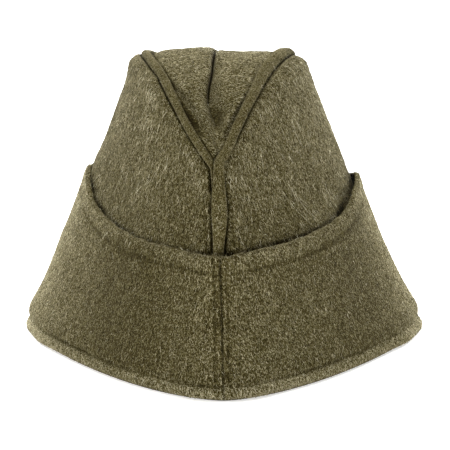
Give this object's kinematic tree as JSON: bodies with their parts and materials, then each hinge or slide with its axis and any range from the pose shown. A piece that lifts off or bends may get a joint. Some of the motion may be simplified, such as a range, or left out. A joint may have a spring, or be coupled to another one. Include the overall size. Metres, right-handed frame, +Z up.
{
  "type": "garrison cap",
  "caption": "Wool garrison cap standing open: two tall side panels, a boat-shaped top folded in along its middle, rolled welts on the ridges and a turned-up curtain all round.",
  "frame": {"origin": "middle of the oval lower edge, on the surface that the cap stands on", "axes": "+Z up, -Y towards the higher front end, Y along the cap's length; left and right in node names are as seen from the front end, so right is +X"},
  "size_m": [0.1802, 0.2232, 0.1321],
  "materials": {
    "wool_melton": "heathered olive-khaki wool melton with a short raised nap"
  },
  "bodies": {
    "root": {"crown_side_left": "wool_melton", "crown_side_right": "wool_melton", "crown_top": "wool_melton", "curtain_left": "wool_melton", "curtain_right": "wool_melton", "welt_left": "wool_melton", "welt_right": "wool_melton"}
  },
  "joints": []
}
